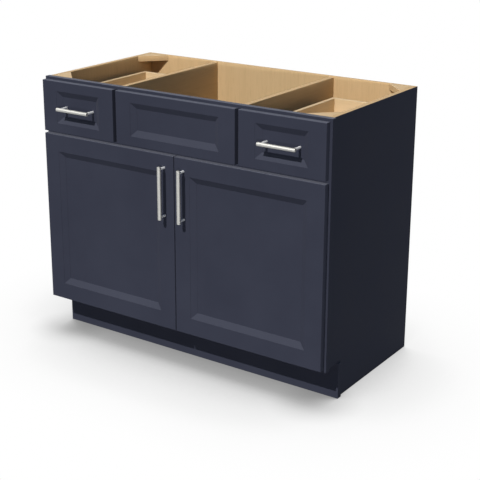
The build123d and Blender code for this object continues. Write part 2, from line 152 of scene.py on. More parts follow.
class VanityPaint(bpy.types.PropertyGroup):
    """Satin paint on the fronts, the face frame and the outside of the case."""

    tint: colour("Paint", "Colour of the paint", (0.0351, 0.0392, 0.0618))
    # The paler colour on upward faces is painted light: it stands in for the light that top faces and
    # lower bevels get from above
    painted_top_light: colour("Painted top light", "Paler colour of the paint where it faces up", (0.118, 0.127, 0.168))
    roughness: factor("Roughness", "Roughness of the paint", 0.5)
    specular: factor("Specular", "Strength of the paint's gloss", 0.02)


class VanityWood(bpy.types.PropertyGroup):
    """Bare plywood of the case and clear-coated wood of the drawer boxes."""

    birch_light: colour("Birch", "Pale colour of the case plywood", (0.695, 0.5, 0.282))
    birch_dark: colour("Birch grain", "Grain colour of the case plywood", (0.63, 0.445, 0.245))
    maple_light: colour("Maple", "Pale colour of the drawer boards", (0.73, 0.565, 0.37))
    maple_dark: colour("Maple grain", "Grain colour of the drawer boards", (0.66, 0.505, 0.31))
    end_grain: colour("End grain", "Colour of the cross plies in a plywood edge", (0.50, 0.31, 0.15))
    pore: colour("Pore", "Colour of the pores in the grain", (0.30, 0.17, 0.08))
    glue: colour("Glue", "Colour of the glue lines in a plywood edge", (0.22, 0.13, 0.065))
    ply: length("Ply", "Thickness of one ply of the case plywood", 0.00144)


class VanityMetal(bpy.types.PropertyGroup):
    """Nickel of the pulls, steel of the fittings and the plastic beside them."""

    nickel: colour("Nickel", "Colour of the bars of the pulls", (0.57, 0.572, 0.553))
    # The posts' near-white colour is painted reflection of the white surroundings
    post: colour("Post", "Colour of the posts of the pulls", (0.92, 0.94, 0.98))
    steel: colour("Steel", "Colour of hinges, slides and screws", (0.56, 0.57, 0.58))
    plastic: colour("Plastic", "Colour of the latches and the slide sockets", (0.16, 0.165, 0.17))
    pad: colour("Pad", "Colour of the soft bumpers", (0.80, 0.82, 0.82))


class VanityStage(bpy.types.PropertyGroup):
    """Camera, light and floor."""

    place: FloatVectorProperty(
        name="Camera place",
        description="Where the camera stands",
        default=(2.0443, -2.9078, 1.5951),
        subtype="TRANSLATION",
    )
    turn: FloatVectorProperty(
        name="Camera turn",
        description="Turn of the camera about X, Y and Z",
        default=(math.radians(72.297), 0, math.radians(34.913)),
        subtype="EULER",
    )
    lens: FloatProperty(name="Lens", description="Focal length in millimetres", default=86.13, min=1)
    sensor: FloatProperty(
        name="Sensor", description="Width of the camera's sensor in millimetres", default=36, min=1
    )
    shift: FloatVectorProperty(
        name="Lens shift", description="Sideways and upward shift", default=(0.0265, -0.0656), size=2
    )
    key: strength("Key", "Strength of the key lamp", 3.2)
    fill: strength("Fill", "Strength of the lamp beside the camera", 0.6)
    rear: strength("Rear", "Strength of the lamp behind the left side", 1.2)
    edge: strength("Edge", "Strength of the lamps on the edges of the fronts", 0.42)
    sky: strength("Sky", "Strength of the soft light from above", 0.16)
    lamp_tint: colour("Lamp colour", "Warm colour of the lamps", (1.0, 0.96, 0.89))
    sky_tint: colour("Sky colour", "Cool colour of the light from above", (0.6, 0.79, 1.0))
    lamp_angle: FloatProperty(
        name="Lamp angle",
        description="Angle that a lamp fills in the sky, which softens its shadows",
        default=math.radians(0.8),
        min=0,
        subtype="ANGLE",
    )
    reach: length("Shadow reach", "How far the soft floor shadow reaches", 0.5)
    mirror: factor("Floor mirror", "How bright the floor is in reflections", 0.8)
    bounce: colour("Floor bounce", "Colour of the light from the floor", (0.24, 0.24, 0.24))


class VanitySettings(bpy.types.PropertyGroup):
    """All the sizes, finishes and stage values of the cabinet."""

    sizes: PointerProperty(type=VanitySizes)
    paint: PointerProperty(type=VanityPaint)
    wood: PointerProperty(type=VanityWood)
    metal: PointerProperty(type=VanityMetal)
    stage: PointerProperty(type=VanityStage)


def settings():
    """The cabinet's settings in this scene."""
    return bpy.context.scene.vanity


# Modelling


def activate(piece):
    """Makes the piece the only selected object."""
    bpy.ops.object.select_all(action="DESELECT")
    piece.select_set(True)
    bpy.context.view_layer.objects.active = piece


def edit(piece):
    """Opens the piece for editing."""
    activate(piece)
    bpy.ops.object.mode_set(mode="EDIT")


def close():
    """Ends the editing."""
    bpy.ops.object.mode_set(mode="OBJECT")


def pick(kind, test):
    """Selects the faces or edges of the open piece that pass the test."""
    bpy.ops.mesh.select_mode(type=kind)
    bpy.ops.mesh.select_all(action="DESELECT")
    mesh = bpy.context.object.data
    shape = bmesh.from_edit_mesh(mesh)
    for item in shape.faces if kind == "FACE" else shape.edges:
        if test(item):
            item.select_set(True)
    bmesh.update_edit_mesh(mesh)


def lies_at(edge, axis, place):
    """Whether an edge lies in the plane square to the axis at this place."""
    return all(abs(vert.co[axis] - place) < TOUCH for vert in edge.verts)


def cut(axis, *places):
    """Divides the open piece by planes square to the axis."""
    normal = Vector([1 if index == axis else 0 for index in range(3)])
    for place in places:
        bpy.ops.mesh.select_all(action="SELECT")
        bpy.ops.mesh.bisect(plane_co=normal * place, plane_no=normal)


def new_primitive(name):
    """Names the primitive just added and puts its place into its mesh."""
    piece = bpy.context.object
    piece.name = piece.data.name = name
    bpy.ops.object.transform_apply()
    return piece


def block(name, low, high):
    """Block between two corners, as a start for a board."""
    bpy.ops.object.select_all(action="DESELECT")
    bpy.ops.mesh.primitive_cube_add(size=1, location=(low + high) / 2, scale=high - low)
    return new_primitive(name)


def rod(name, start, end, radius, vertices):
    """Round bar between two points, as a start for a turned piece."""
    run = end - start
    bpy.ops.object.select_all(action="DESELECT")
    bpy.ops.mesh.primitive_cylinder_add(
        vertices=vertices,
        radius=radius,
        depth=run.length,
        location=(start + end) / 2,
        rotation=run.to_track_quat("Z", "Y").to_euler(),
    )
    return new_primitive(name)


def apply_modifier(piece, kind, **values):
    """Adds a modifier with these values and applies it."""
    activate(piece)
    modifier = piece.modifiers.new(kind.lower(), kind)
    for name, value in values.items():
        setattr(modifier, name, value)
    bpy.ops.object.modifier_apply(modifier=modifier.name)


def combine(piece, other, operation):
    """Cuts the other piece out of this one, or adds it, and removes the other."""
    apply_modifier(piece, "BOOLEAN", operation=operation, object=other, solver="EXACT")
    bpy.data.objects.remove(other)


def ease(piece, width):
    """Rounds the sharp edges of a piece."""
    limit = math.radians(SHARP)
    apply_modifier(piece, "BEVEL", width=width, segments=3, limit_method="ANGLE", angle_limit=limit)


def smooth(piece, sharp=SHARP):
    """Shades rounded edges smoothly and keeps the flats flat."""
    activate(piece)
    bpy.ops.object.shade_smooth_by_angle(angle=math.radians(sharp))
    apply_modifier(piece, "WEIGHTED_NORMAL", keep_sharp=True, weight=100)


def eased_copy(node, width):
    """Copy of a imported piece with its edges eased."""
    piece = bpy.data.objects.new(f"{node}_eased", frame["nodes"][node].data.copy())
    bpy.context.scene.collection.objects.link(piece)
    piece.data.materials.clear()
    edit(piece)
    bpy.ops.mesh.select_all(action="SELECT")
    bpy.ops.mesh.remove_doubles(threshold=WELD)
    bpy.ops.mesh.dissolve_limited(angle_limit=math.radians(FLAT))
    close()
    ease(piece, width)
    smooth(piece)
    return piece


def body_of(node):
    """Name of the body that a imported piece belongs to."""
    bodies = frame["record"]["behaviour"]["bodies"]
    return next(body for body, members in bodies.items() if node in members)


def stand_for(piece, slot, *nodes):
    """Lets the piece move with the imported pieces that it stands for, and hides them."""
    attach(piece, body_of(nodes[0]))
    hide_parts(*nodes)


def coat(piece, finish):
    """Gives the whole piece one finish."""
    piece.data.materials.clear()
    piece.data.materials.append(finish)


def eased_piece(node, width, finish, slot):
    """Eased piece of one finish in the place of a packed one."""
    piece = eased_copy(node, width)
    coat(piece, finish)
    stand_for(piece, slot, node)


def coat_faces(piece, finish, test):
    """Gives the faces that pass the test their own finish."""
    piece.data.materials.append(finish)
    edit(piece)
    pick("FACE", test)
    piece.active_material_index = len(piece.data.materials) - 1
    bpy.ops.object.material_slot_assign()
    close()


def finish_node(node, finish):
    """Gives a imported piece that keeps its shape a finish."""
    for slot in frame["nodes"][node].material_slots:
        slot.material = finish


def lamp_group(name):
    """Group of pieces that a lamp treats apart from the rest."""
    return bpy.data.collections.get(name) or bpy.data.collections.new(name)


def let_key_pass(piece):
    """Lets the key lamp light the edges in the gaps around the piece."""
    passed = lamp_group(KEY_PASSES)
    passed.objects.link(piece)
    passed.collection_objects[len(passed.objects) - 1].light_linking.link_state = "EXCLUDE"


def solids_of(node):
    """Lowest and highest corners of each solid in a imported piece."""
    shape = bmesh.new()
    shape.from_mesh(frame["nodes"][node].data)
    bmesh.ops.remove_doubles(shape, verts=shape.verts, dist=WELD)
    left = set(shape.verts)
    boxes = []
    while left:
        group, waiting = set(), [left.pop()]
        while waiting:
            vert = waiting.pop()
            group.add(vert)
            near = {other for link in vert.link_edges for other in link.verts} & left
            left -= near
            waiting += near
        points = [vert.co for vert in group]
        boxes.append((Vector(map(min, *points)), Vector(map(max, *points))))
    shape.free()
    return sorted(boxes, key=lambda box: tuple(box[0]))


# Finishes


def add_node(tree, kind, **values):
    """Adds a shader node; values set its options by name and its sockets by label or number."""
    node = tree.nodes.new(f"ShaderNode{kind}")
    sockets = values.pop("sockets", {})
    for name, value in values.items():
        setattr(node, name, value)
    for name, value in sockets.items():
        if isinstance(value, bpy.types.NodeSocket):
            tree.links.new(value, node.inputs[name])
        else:
            node.inputs[name].default_value = value
    return node


def maths(tree, operation, *values, clamp=False):
    """Math node on numbers or sockets."""
    node = add_node(
        tree, "Math", operation=operation, use_clamp=clamp, sockets=dict(enumerate(values))
    )
    return node.outputs[0]


def stretched_noise(tree, vector, stretch, detail, distortion=0.0):
    """Noise drawn out along an axis: stretch gives its waves per metre."""
    scaled = add_node(
        tree, "VectorMath", operation="MULTIPLY", sockets={0: vector, 1: stretch}
    ).outputs[0]
    sockets = {"Vector": scaled, "Scale": 1.0, "Detail": detail, "Distortion": distortion}
    return add_node(tree, "TexNoise", sockets=sockets).outputs["Fac"]


def rescale(tree, value, low, high, new_low, new_high):
    """Maps a value from one range to another, clamped."""
    sockets = {"Value": value, 1: low, 2: high, 3: new_low, 4: new_high}
    return add_node(tree, "MapRange", sockets=sockets).outputs["Result"]


def spread(tree, noise, low, high):
    """Maps the usual range of a noise to another range."""
    return rescale(tree, noise, NOISE_LOW, NOISE_HIGH, low, high)


def fade(tree, value, near, far, full):
    """Smooth fall from full at the near value to nothing at the far one."""
    sockets = {"Value": value, 1: near, 2: far, 3: full, 4: 0.0}
    node = add_node(tree, "MapRange", interpolation_type="SMOOTHSTEP", sockets=sockets)
    return node.outputs["Result"]


def blend_colours(tree, amount, first, second, kind="MIX"):
    """Mixes two colours."""
    node = add_node(tree, "Mix", data_type="RGBA", blend_type=kind)
    for socket, value in ((node.inputs[0], amount), (node.inputs[6], first), (node.inputs[7], second)):
        if isinstance(value, bpy.types.NodeSocket):
            tree.links.new(value, socket)
        else:
            socket.default_value = value
    return node.outputs[2]


def new_group(name, inputs, outputs):
    """Node group with named sockets; returns it with its input node's sockets and its output node."""
    tree = bpy.data.node_groups.new(name, "ShaderNodeTree")
    for label, kind in inputs.items():
        tree.interface.new_socket(label, in_out="INPUT", socket_type=f"NodeSocket{kind}")
    for label, kind in outputs.items():
        tree.interface.new_socket(label, in_out="OUTPUT", socket_type=f"NodeSocket{kind}")
    start = tree.nodes.new("NodeGroupInput")
    end = tree.nodes.new("NodeGroupOutput")
    return tree, start.outputs, end


def link_outputs(tree, end, **values):
    """Connects values to the named outputs of a group."""
    for name, value in values.items():
        tree.links.new(value, end.inputs[name])


SURFACE = {"Color": "Color", "Roughness": "Float", "Height": "Float"}


def wood_group():
    """Wood whose grain runs along Z: broad figure, fine streaks and dark pores."""
    inputs = {"Vector": "Vector", "Light": "Color", "Dark": "Color", "Pores": "Float"}
    tree, given, end = new_group("Wood grain", inputs, SURFACE)
    vector = given["Vector"]
    figure = stretched_noise(tree, vector, (34, 34, 1.6), 3.0, 0.6)
    streak = stretched_noise(tree, vector, (240, 240, 5), 2.0)
    fibre = stretched_noise(tree, vector, (1100, 1100, 30), 1.0)
    pores = rescale(tree, stretched_noise(tree, vector, (700, 700, 22), 1.0), 0.62, 0.72, 0.0, 1.0)
    broad = spread(tree, figure, 0.0, 0.5)
    fine = spread(tree, streak, 0.0, 0.4)
    amount = maths(tree, "ADD", broad, fine, clamp=True)
    ground = blend_colours(tree, amount, given["Light"], given["Dark"])
    soft = blend_colours(tree, spread(tree, fibre, 0.0, 0.10), ground, given["Dark"])
    shown = maths(tree, "MULTIPLY", pores, given["Pores"])
    final = blend_colours(tree, shown, soft, rgba(settings().wood.pore))
    rough = spread(tree, streak, 0.48, 0.62)
    height = maths(tree, "SUBTRACT", maths(tree, "MULTIPLY", fibre, 0.4), pores)
    link_outputs(tree, end, Color=final, Roughness=rough, Height=height)
    return tree


def ply_group():
    """Plywood edge: plies stacked along X, in turn long grain and end grain, with glue lines."""
    inputs = {"Vector": "Vector", "Light": "Color", "Dark": "Color", "Ply": "Float"}
    tree, given, end = new_group("Plywood edge", inputs, SURFACE)
    parts = add_node(tree, "SeparateXYZ", sockets={0: given["Vector"]})
    wander = stretched_noise(tree, given["Vector"], (40, 40, 40), 2.0)
    shifted = maths(tree, "MULTIPLY_ADD", wander, 0.0003, parts.outputs[0])
    layer = maths(tree, "DIVIDE", shifted, given["Ply"])
    within = maths(tree, "FRACT", layer)
    other = maths(tree, "GREATER_THAN", maths(tree, "FRACT", maths(tree, "MULTIPLY", layer, 0.5)), 0.5)
    edge = maths(tree, "ABSOLUTE", maths(tree, "SUBTRACT", within, 0.5))
    glue = rescale(tree, edge, 0.43, 0.48, 0.0, 0.55)
    speck = stretched_noise(tree, given["Vector"], (900, 900, 900), 2.0)
    tone = rescale(tree, speck, 0.35, 0.65, 0.15, 0.75)
    cross = maths(tree, "MULTIPLY", other, tone)
    ground = blend_colours(tree, cross, given["Light"], given["Dark"])
    final = blend_colours(tree, glue, ground, rgba(settings().wood.glue))
    rough = rescale(tree, tone, 0.0, 1.0, 0.62, 0.78)
    height = maths(tree, "SUBTRACT", tone, glue)
    link_outputs(tree, end, Color=final, Roughness=rough, Height=height)
    return tree


def paint_group():
    """Sprayed paint: faint clouding, ripple and fine nibs, and a paler colour on upward faces, which is
    painted light from above.
    """
    inputs = {"Vector": "Vector", "Tint": "Color", "Painted top light": "Color", "Sheen": "Float"}
    tree, given, end = new_group("Sprayed paint", inputs, SURFACE)
    vector = given["Vector"]
    normal = add_node(tree, "NewGeometry").outputs["Normal"]
    level = add_node(tree, "SeparateXYZ", sockets={0: normal}).outputs[2]
    # Share of the painted top light, growing as the face turns up
    painted_top_light = rescale(tree, level, 0.38, 1.0, 0.0, 1.0)
    cloud = stretched_noise(tree, vector, (6, 6, 6), 3.0)
    ripple = stretched_noise(tree, vector, (420, 420, 420), 2.0)
    nib = rescale(tree, stretched_noise(tree, vector, (900, 900, 900), 0.0), 0.74, 0.80, 0.0, 1.0)
    lighter = blend_colours(tree, 1.0, given["Tint"], (1.16, 1.16, 1.14, 1), "MULTIPLY")
    clouded = blend_colours(tree, spread(tree, cloud, 0.0, 1.0), given["Tint"], lighter)
    speckled = blend_colours(tree, spread(tree, ripple, 0.0, 0.12), clouded, lighter)
    with_painted_top_light = blend_colours(tree, painted_top_light, speckled, given["Painted top light"])
    rough = maths(tree, "ADD", given["Sheen"], spread(tree, cloud, -0.04, 0.06))
    height = maths(tree, "MULTIPLY_ADD", nib, 0.6, ripple)
    link_outputs(tree, end, Color=with_painted_top_light, Roughness=rough, Height=height)
    return tree


def metal_group():
    """Metal brushed along Z: fine lines in its colour, roughness and height."""
    inputs = {"Vector": "Vector", "Tint": "Color", "Polish": "Float"}
    tree, given, end = new_group("Brushed metal", inputs, SURFACE)
    lines = stretched_noise(tree, given["Vector"], (3000, 3000, 60), 2.0)
    smudge = stretched_noise(tree, given["Vector"], (35, 35, 35), 2.0)
    darker = blend_colours(tree, 1.0, given["Tint"], (0.82, 0.82, 0.83, 1), "MULTIPLY")
    final = blend_colours(tree, spread(tree, lines, 0.0, 0.55), given["Tint"], darker)
    worn = maths(tree, "ADD", given["Polish"], spread(tree, smudge, -0.04, 0.06))
    rough = maths(tree, "ADD", worn, spread(tree, lines, -0.05, 0.07))
    link_outputs(tree, end, Color=final, Roughness=rough, Height=lines)
    return tree


def moulded_group():
    """Moulded surface with a fine spark-eroded texture."""
    inputs = {"Vector": "Vector", "Tint": "Color", "Polish": "Float"}
    tree, given, end = new_group("Moulded texture", inputs, SURFACE)
    pits = stretched_noise(tree, given["Vector"], (1800, 1800, 1800), 2.0)
    flow = stretched_noise(tree, given["Vector"], (60, 60, 20), 2.0)
    darker = blend_colours(tree, 1.0, given["Tint"], (0.8, 0.8, 0.8, 1), "MULTIPLY")
    final = blend_colours(tree, spread(tree, flow, 0.0, 0.7), given["Tint"], darker)
    rough = maths(tree, "ADD", given["Polish"], spread(tree, pits, -0.06, 0.08))
    link_outputs(tree, end, Color=final, Roughness=rough, Height=pits)
    return tree


GROUPS = {
    "wood": ("Wood grain", wood_group),
    "ply": ("Plywood edge", ply_group),
    "paint": ("Sprayed paint", paint_group),
    "metal": ("Brushed metal", metal_group),
    "moulded": ("Moulded texture", moulded_group),
}

ALONG = {
    X: (0, math.radians(90), 0),
    Y: (math.radians(90), 0, 0),
    Z: (0, 0, 0),
}

STACK = {
    X: (0, 0, 0),
    Y: (0, 0, math.radians(90)),
    Z: (0, math.radians(90), 0),
}


def finish(name, group, turn, values, relief, **shader):
    """Material that places a group on Object coordinates, turned to suit, under one shader."""
    if name in bpy.data.materials:
        return bpy.data.materials[name]
    label, build = GROUPS[group]
    tree_of_group = bpy.data.node_groups.get(label) or build()
    material = bpy.data.materials.new(name)
    material.use_nodes = True
    tree = material.node_tree
    principled = tree.nodes["Principled BSDF"]
    place = add_node(tree, "TexCoord").outputs["Object"]
    turned = add_node(tree, "Mapping", sockets={"Vector": place, "Rotation": turn}).outputs[0]
    surface = tree.nodes.new("ShaderNodeGroup")
    surface.node_tree = tree_of_group
    tree.links.new(turned, surface.inputs["Vector"])
    for socket, value in values.items():
        surface.inputs[socket].default_value = value
    bump = add_node(
        tree, "Bump", sockets={"Strength": 1.0, "Distance": relief, "Height": surface.outputs["Height"]}
    )
    tree.links.new(surface.outputs["Color"], principled.inputs["Base Color"])
    tree.links.new(surface.outputs["Roughness"], principled.inputs["Roughness"])
    tree.links.new(bump.outputs[0], principled.inputs["Normal"])
    for socket, value in shader.items():
        principled.inputs[socket.replace("_", " ")].default_value = value
    return material


def rgba(value):
    """Colour with full cover."""
    return (*value, 1)


def navy_paint():
    """Satin navy paint, with painted light on its upward faces."""
    paint = settings().paint
    values = {"Tint": rgba(paint.tint), "Painted top light": rgba(paint.painted_top_light), "Sheen": paint.roughness}
    gloss = {"Specular_IOR_Level": paint.specular}
    return finish("navy paint", "paint", ALONG[Z], values, relief=0.00003, **gloss)


def birch(axis):
    """Birch veneer with its grain along an axis."""
    wood = settings().wood
    values = {"Light": rgba(wood.birch_light), "Dark": rgba(wood.birch_dark), "Pores": 0.22}
    name = f"birch along {'xyz'[axis]}"
    return finish(name, "wood", ALONG[axis], values, relief=0.00006, Specular_IOR_Level=0.2)


def maple(axis):
    """Clear-coated maple with its grain along an axis."""
    wood = settings().wood
    values = {"Light": rgba(wood.maple_light), "Dark": rgba(wood.maple_dark), "Pores": 0.15}
    name = f"maple along {'xyz'[axis]}"
    gloss = {"Specular_IOR_Level": 0.3, "Coat_Weight": 0.12, "Coat_Roughness": 0.3}
    return finish(name, "wood", ALONG[axis], values, relief=0.00004, **gloss)


def plies(axis):
    """Sawn plywood edge with its plies stacked along an axis."""
    wood = settings().wood
    values = {"Light": rgba(wood.birch_light), "Dark": rgba(wood.end_grain), "Ply": wood.ply}
    name = f"plies along {'xyz'[axis]}"
    return finish(name, "ply", STACK[axis], values, relief=0.00010, Specular_IOR_Level=0.15)


def nickel(axis):
    """Satin nickel brushed along an axis."""
    values = {"Tint": rgba(settings().metal.nickel), "Polish": 0.5}
    name = f"satin nickel along {'xyz'[axis]}"
    return finish(name, "metal", ALONG[axis], values, relief=0.00001, Metallic=1.0, Anisotropic=0.3)


def posts_painted_reflection():
    """Near-white, barely metallic finish of the posts on a moulded texture, a painted reflection of the
    white surroundings.
    """
    values = {"Tint": rgba(settings().metal.post), "Polish": 0.4}
    return finish("posts with painted reflection", "moulded", ALONG[Z], values, relief=0.00001, Metallic=0.1)


def steel(axis):
    """Zinc-plated steel rolled along an axis."""
    values = {"Tint": rgba(settings().metal.steel), "Polish": 0.36}
    name = f"plated steel along {'xyz'[axis]}"
    return finish(name, "metal", ALONG[axis], values, relief=0.00001, Metallic=1.0)


def plastic():
    """Grey moulded plastic."""
    values = {"Tint": rgba(settings().metal.plastic), "Polish": 0.5}
    return finish("grey plastic", "moulded", ALONG[Z], values, relief=0.00004, Specular_IOR_Level=0.4)


def clear_pad():
    """Clear soft pad."""
    values = {"Tint": rgba(settings().metal.pad), "Polish": 0.34}
    glass = {"Transmission_Weight": 0.55, "IOR": 1.45}
    return finish("clear pad", "moulded", ALONG[Z], values, relief=0.00002, **glass)


# Case


class VANITY_OT_case_boards(bpy.types.Operator):
    """Models the boards of the case with eased edges, sawn plywood edges and painted outsides."""

    bl_idname = "vanity.case_boards"
    bl_label = "Case Boards"

    # Shares of a face's normal: below the first across its board it is a sawn edge, and above the
    # second towards the outside it is painted
    sawn_share, painted_share = 0.7, 0.5

    def execute(self, context):
        boards = {
            "back_panel": (Y, Z),
            "bottom_panel": (Z, X),
            "left_partition": (X, Y),
            "right_partition": (X, Y),
            "front_corner_blocks": (Z, X),
            "back_corner_blocks": (Z, X),
            "left_side_panel": (X, Z),
            "right_side_panel": (X, Z),
        }
        for node, (thickness, grain) in boards.items():
            piece = eased_copy(node, settings().sizes.board_ease)
            coat(piece, birch(grain))
            coat_faces(
                piece, plies(thickness), lambda face: abs(face.normal[thickness]) < self.sawn_share
            )
            if node.endswith("side_panel"):
                outwards = 1 if node.startswith("right") else -1
                coat_faces(
                    piece, navy_paint(), lambda face: face.normal.x * outwards > self.painted_share
                )
            stand_for(piece, "navy_paint" if node.endswith("side_panel") else "natural_wood", node)
        return {"FINISHED"}


class VANITY_OT_toe_kick(bpy.types.Operator):
    """Models the painted board of the toe kick."""

    bl_idname = "vanity.toe_kick"
    bl_label = "Toe Kick"

    def execute(self, context):
        eased_piece("toe_kick_board", settings().sizes.board_ease, navy_paint(), "navy_paint")
        return {"FINISHED"}


class VANITY_OT_face_frame(bpy.types.Operator):
    """Models the face frame as one glued and painted unit with its four openings."""

    bl_idname = "vanity.face_frame"
    bl_label = "Face Frame"

    def execute(self, context):
        nodes = ["frame_top_rail", "frame_middle_rail", "frame_bottom_rail"]
        nodes += [f"{side}_frame_{part}" for side in SIDES for part in ("stile", "mullion")]
        boxes = {node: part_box(node) for node in nodes}
        low = Vector(map(min, *[box[0] for box in boxes.values()]))
        high = Vector(map(max, *[box[1] for box in boxes.values()]))
        opening = boxes["right_frame_stile"][0].x
        mullion = (boxes["right_frame_mullion"][0].x, boxes["right_frame_mullion"][1].x)
        door = (boxes["frame_bottom_rail"][1].z, boxes["frame_middle_rail"][0].z)
        drawer = (boxes["frame_middle_rail"][1].z, boxes["frame_top_rail"][0].z)
        openings = [
            ((-opening, opening), door),
            ((-opening, -mullion[1]), drawer),
            ((-mullion[0], mullion[0]), drawer),
            ((mullion[1], opening), drawer),
        ]
        piece = block("face_frame_unit", low, high)
        edit(piece)
        cut(X, -opening, -mullion[1], -mullion[0], mullion[0], mullion[1], opening)
        cut(Z, *door, *drawer)
        for (x0, x1), (z0, z1) in openings:
            self.open_between(x0, x1, z0, z1)
        close()
        ease(piece, settings().sizes.board_ease)
        smooth(piece)
        coat(piece, navy_paint())
        stand_for(piece, "navy_paint", *nodes)
        return {"FINISHED"}

    def open_between(self, x0, x1, z0, z1):
        """Opens the frame between these sides and levels."""

        def inside(face):
            center = face.calc_center_median()
            return abs(face.normal.y) > SQUARE and x0 < center.x < x1 and z0 < center.z < z1

        pick("FACE", inside)
        bpy.ops.mesh.dissolve_faces()
        pick("FACE", inside)
        bpy.ops.mesh.bridge_edge_loops()


# Fronts


def routed_frame(name, low, high, rail):
    """Stiles and rails of a front in one painted frame, with its routed profile and its opening."""
    sizes = settings().sizes
    piece = block(name, low, high)
    edit(piece)
    window_x = (low.x + sizes.stile_width, high.x - sizes.stile_width)
    window_z = (low.z + rail, high.z - rail)
    middle = (low + high) / 2
    cut(X, *window_x)
    cut(Z, *window_z)

    def central(face):
        center = face.calc_center_median() - middle
        near_middle = max(abs(center.x), abs(center.z)) < CENTRED
        return abs(face.normal.y) > SQUARE and near_middle

    pick("FACE", lambda face: central(face) and face.normal.y < 0)
    bpy.ops.mesh.extrude_region_move(TRANSFORM_OT_translate={"value": (0, sizes.bevel_step, 0)})
    bpy.ops.mesh.inset(thickness=sizes.bevel_width)
    slope = sizes.panel_recess - sizes.bevel_step - sizes.panel_step
    bpy.ops.transform.translate(value=(0, slope, 0))
    bpy.ops.mesh.extrude_region_move(TRANSFORM_OT_translate={"value": (0, sizes.panel_step, 0)})
    pick("FACE", lambda face: central(face) and face.normal.y > 0)
    bpy.ops.mesh.inset(thickness=sizes.bevel_width)
    pick("FACE", central)
    bpy.ops.mesh.bridge_edge_loops()

    def around(edge, level):
        limits = [(axis, corner[axis]) for axis in (X, Z) for corner in (low, high)]
        return lies_at(edge, Y, level) and any(lies_at(edge, *limit) for limit in limits)

    pick("EDGE", lambda edge: around(edge, low.y))
    bpy.ops.mesh.bevel(offset=sizes.front_round, segments=4)
    pick("EDGE", lambda edge: around(edge, high.y))
    bpy.ops.mesh.bevel(offset=sizes.front_ease, segments=4)
    close()
    lamp_group(EDGE_LIT).objects.link(piece)
    return piece


def finish_panel(node):
    """Paints the panel of a front, and lets the edge lamps light it with its frame."""
    finish_node(node, navy_paint())
    lamp_group(EDGE_LIT).objects.link(frame["nodes"][node])


class VANITY_OT_doors(bpy.types.Operator):
    """Models the frames of the two doors, with bores for the hinge cups, and finishes their panels."""

    bl_idname = "vanity.doors"
    bl_label = "Doors"

    def execute(self, context):
        for side in SIDES:
            piece = routed_frame(
                f"{side}_door_routed_frame", *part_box(f"{side}_door_frame"), settings().sizes.door_rail
            )
            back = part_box(f"{side}_door_frame")[1].y
            for low, high in solids_of(f"{side}_hinge_cups"):
                self.bore(piece, low, high, back, 1 if side == "right" else -1)
            smooth(piece, ROUTED_SHARP)
            coat(piece, navy_paint())
            stand_for(piece, "navy_paint", f"{side}_door_frame")
            finish_panel(f"{side}_door_panel")
        return {"FINISHED"}

    def bore(self, piece, low, high, back, outwards):
        """Bores the door's back for one hinge cup, whose outer side lies at the cup's own edge."""
        sizes = settings().sizes
        radius = sizes.cup_radius
        edge = high.x if outwards > 0 else low.x
        x = edge - outwards * (radius + sizes.cup_rim)
        z = (low.z + high.z) / 2
        start, end = Vector((x, low.y, z)), Vector((x, back + radius, z))
        combine(piece, rod("cup_bore", start, end, radius, vertices=64), "DIFFERENCE")


class VANITY_OT_drawer_fronts(bpy.types.Operator):
    """Models the frames of the drawer fronts and of the fixed front, and finishes their panels."""

    bl_idname = "vanity.drawer_fronts"
    bl_label = "Drawer Fronts"

    def execute(self, context):
        names = {"false_front_frame": "false_front_panel"}
        for side in SIDES:
            names[f"{side}_drawer_front_frame"] = f"{side}_drawer_front_panel"
        for node, panel in names.items():
            piece = routed_frame(
                node.replace("frame", "routed_frame"), *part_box(node), settings().sizes.drawer_rail
            )
            smooth(piece, ROUTED_SHARP)
            coat(piece, navy_paint())
            stand_for(piece, "navy_paint", node)
            let_key_pass(piece)
            finish_panel(panel)
        return {"FINISHED"}


class VANITY_OT_pulls(bpy.types.Operator):
    """Models the four bar pulls on their posts."""

    bl_idname = "vanity.pulls"
    bl_label = "Bar Pulls"

    def execute(self, context):
        for side in SIDES:
            self.pull(f"{side}_door_pull", Z)
            self.pull(f"{side}_drawer_pull", X)
        return {"FINISHED"}

    def pull(self, node, axis):
        """Bar along the axis on two posts, in the place of a packed pull."""
        sizes = settings().sizes
        low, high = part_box(node)
        start, end = (low + high) / 2, (low + high) / 2
        start.y = end.y = low.y + sizes.pull_radius
        start[axis], end[axis] = low[axis], high[axis]
        piece = rod(node.replace("pull", "bar_pull"), start, end, sizes.pull_radius, vertices=64)
        edit(piece)
        pick("EDGE", lambda edge: lies_at(edge, axis, low[axis]) or lies_at(edge, axis, high[axis]))
        bpy.ops.mesh.bevel(offset=sizes.pull_chamfer, segments=4)
        close()
        for place in (low[axis] + sizes.pull_overhang, high[axis] - sizes.pull_overhang):
            foot = start.copy()
            foot[axis] = place
            foot.y = high.y
            top = foot.copy()
            top.y = start.y
            combine(piece, rod("post", foot, top, sizes.post_radius, vertices=40), "UNION")
        smooth(piece)
        coat(piece, nickel(axis))
        bar_back = low.y + 2 * sizes.pull_radius
        # The posts get a near-white finish that is painted reflection
        coat_faces(piece, posts_painted_reflection(), lambda face: face.calc_center_median().y > bar_back)
        stand_for(piece, "satin_nickel", node)


# Drawers


class VANITY_OT_drawer_boxes(bpy.types.Operator):
    """Models the boards of the drawer boxes with rounded edges."""

    bl_idname = "vanity.drawer_boxes"
    bl_label = "Drawer Boxes"

    def execute(self, context):
        sizes = settings().sizes
        boards = {"sides": Y, "front": X, "back": X, "bottom": X}
        for side in SIDES:
            for part, grain in boards.items():
                width = sizes.thin_ease if part == "bottom" else sizes.box_ease
                eased_piece(f"{side}_drawer_box_{part}", width, maple(grain), "natural_wood")
        return {"FINISHED"}


